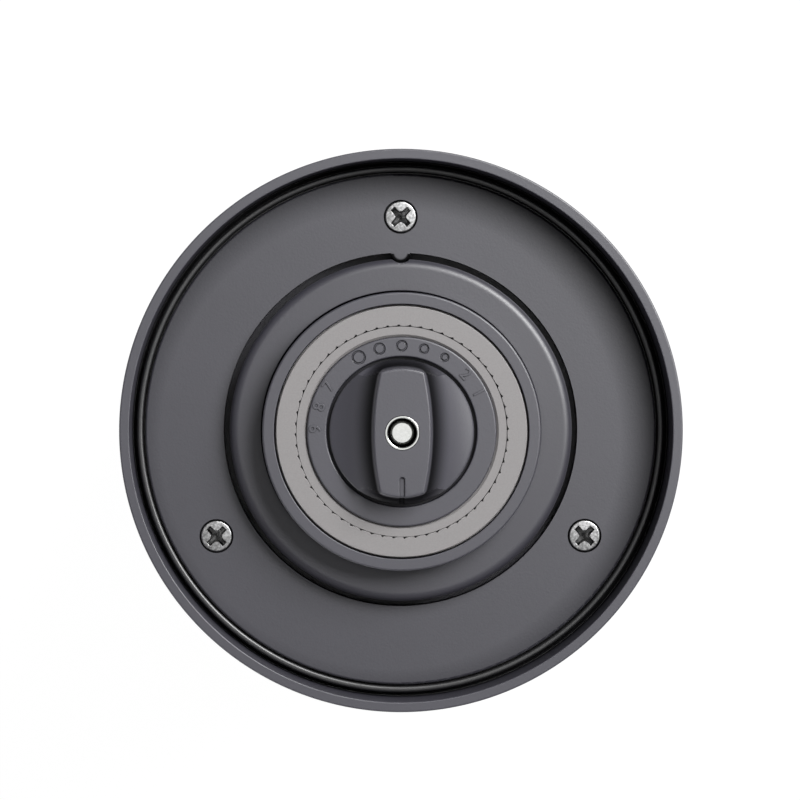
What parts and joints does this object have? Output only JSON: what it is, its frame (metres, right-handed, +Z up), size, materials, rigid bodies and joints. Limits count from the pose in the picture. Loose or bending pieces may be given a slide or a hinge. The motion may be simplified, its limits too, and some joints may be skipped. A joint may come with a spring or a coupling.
{
  "type": "electric coffee grinder",
  "caption": "Round cordless burr coffee grinder, cup off, stood on its head: motor and gearbox in the head, a bean chamber, conical ceramic burrs and a grind knob.",
  "frame": {"origin": "centre of the head's flat end, on the floor", "axes": "+Z up, out of the outlet and the knob; the power button faces -Y and the charging socket +Y; in use the grinder is turned over, with -Z up"},
  "size_m": [0.09, 0.09, 0.1591],
  "materials": {
    "board": "green circuit board",
    "brass": "machined brass",
    "bronze": "oiled bearing bronze",
    "button_plastic": "matt plastic, dark grey",
    "cast_magnet": "sintered ferrite magnet",
    "cell_wrap": "wrapped battery can",
    "ceramic": "unglazed light grey ceramic",
    "dark_plastic": "matt moulded plastic, near black",
    "gear_steel": "sintered steel",
    "grey_plastic": "fine matt moulded plastic, dark grey",
    "liner_plastic": "smooth smoke-grey plastic",
    "seal_rubber": "smooth black rubber",
    "steel": "bright machined steel",
    "white_plastic": "natural white plastic"
  },
  "bodies": {
    "head": {"head_shell": "grey_plastic", "chassis": "dark_plastic", "chassis_screws": "steel", "head_seal": "seal_rubber", "shaft_seal": "seal_rubber", "battery_cradle": "dark_plastic", "battery_cells": "cell_wrap", "control_board": "board", "start_switch": "dark_plastic", "charge_board": "board", "charging_socket": "steel", "charge_light": "white_plastic", "motor_can": "steel", "motor_magnets": "cast_magnet", "motor_end_cap": "white_plastic", "motor_screws": "steel", "gearbox_housing": "gear_steel", "gearbox_cover": "gear_steel", "gearbox_screws": "steel", "cover_screws": "steel", "output_bush": "bronze"},
    "button": {"power_button": "button_plastic", "button_spring": "steel"},
    "motor_rotor": {"motor_armature": "gear_steel", "sun_pinion": "brass"},
    "first_carrier": {"first_carrier": "gear_steel"},
    "output": {"second_carrier": "gear_steel", "drive_coupling": "steel"},
    "mill": {"body_shell": "grey_plastic", "hopper_liner": "liner_plastic", "bottom_plate": "grey_plastic", "plate_screws": "steel", "seal_ring": "seal_rubber", "burr_housing": "grey_plastic", "burr_retainer": "grey_plastic", "outer_burr": "ceramic", "bearing_spider": "dark_plastic", "shaft_bush": "bronze"},
    "rotor": {"drive_shaft": "steel", "shaft_clip": "steel"},
    "carriage": {"inner_burr": "ceramic", "dial_plate": "grey_plastic", "burr_spring": "steel"},
    "knob": {"adjust_knob": "grey_plastic", "knob_insert": "steel"},
    "first_planet_1": {"first_planet_1": "white_plastic"},
    "first_planet_2": {"first_planet_2": "white_plastic"},
    "first_planet_3": {"first_planet_3": "white_plastic"},
    "second_planet_1": {"second_planet_1": "brass"},
    "second_planet_2": {"second_planet_2": "brass"},
    "second_planet_3": {"second_planet_3": "brass"}
  },
  "joints": [
    {"name": "mill_pull_off", "type": "slide", "parent": "head", "child": "mill", "axis": [0, 0, 1], "range_m": [0, 0.1]},
    {"name": "shaft_spin", "type": "hinge", "parent": "mill", "child": "rotor", "pos_m": [0, 0, 0.13], "axis": [0, 0, 1], "continuous": true},
    {"name": "burr_feed", "type": "slide", "parent": "rotor", "child": "carriage", "axis": [0, 0, 1], "range_m": [-0.000333, 0.000333], "deforming": ["burr_spring"]},
    {"name": "knob_turn", "type": "hinge", "parent": "carriage", "child": "knob", "pos_m": [0, 0, 0.155], "axis": [0, 0, 1], "range_deg": [-150, 150]},
    {"name": "button_press", "type": "slide", "parent": "head", "child": "button", "axis": [0, 1, 0], "range_m": [0, 0.0012], "stiffness_N_per_m": 600, "springref_m": -0.002, "deforming": ["button_spring"]},
    {"name": "output_spin", "type": "hinge", "parent": "head", "child": "output", "pos_m": [0, 0, 0.07], "axis": [0, 0, 1], "continuous": true},
    {"name": "first_carrier_spin", "type": "hinge", "parent": "head", "child": "first_carrier", "pos_m": [0, 0, 0.06], "axis": [0, 0, 1], "continuous": true},
    {"name": "motor_spin", "type": "hinge", "parent": "head", "child": "motor_rotor", "pos_m": [0, 0, 0.03], "axis": [0, 0, 1], "continuous": true},
    {"name": "first_planet_1_spin", "type": "hinge", "parent": "first_carrier", "child": "first_planet_1", "pos_m": [0.0075, 0, 0.055], "axis": [0, 0, 1], "continuous": true},
    {"name": "first_planet_2_spin", "type": "hinge", "parent": "first_carrier", "child": "first_planet_2", "pos_m": [-0.00375, 0.0065, 0.055], "axis": [0, 0, 1], "continuous": true},
    {"name": "first_planet_3_spin", "type": "hinge", "parent": "first_carrier", "child": "first_planet_3", "pos_m": [-0.00375, -0.0065, 0.055], "axis": [0, 0, 1], "continuous": true},
    {"name": "second_planet_1_spin", "type": "hinge", "parent": "output", "child": "second_planet_1", "pos_m": [0.0075, 0, 0.064], "axis": [0, 0, 1], "continuous": true},
    {"name": "second_planet_2_spin", "type": "hinge", "parent": "output", "child": "second_planet_2", "pos_m": [-0.00375, 0.0065, 0.064], "axis": [0, 0, 1], "continuous": true},
    {"name": "second_planet_3_spin", "type": "hinge", "parent": "output", "child": "second_planet_3", "pos_m": [-0.00375, -0.0065, 0.064], "axis": [0, 0, 1], "continuous": true}
  ],
  "couplings": [
    {"joint": "knob_turn", "follows": "burr_feed", "rad_per_m": 7854},
    {"joint": "output_spin", "follows": "shaft_spin", "ratio": 1},
    {"joint": "first_carrier_spin", "follows": "shaft_spin", "ratio": 5},
    {"joint": "motor_spin", "follows": "shaft_spin", "ratio": 25},
    {"joint": "first_planet_1_spin", "follows": "shaft_spin", "ratio": -13.333},
    {"joint": "first_planet_2_spin", "follows": "shaft_spin", "ratio": -13.333},
    {"joint": "first_planet_3_spin", "follows": "shaft_spin", "ratio": -13.333},
    {"joint": "second_planet_1_spin", "follows": "shaft_spin", "ratio": -2.6667},
    {"joint": "second_planet_2_spin", "follows": "shaft_spin", "ratio": -2.6667},
    {"joint": "second_planet_3_spin", "follows": "shaft_spin", "ratio": -2.6667}
  ]
}
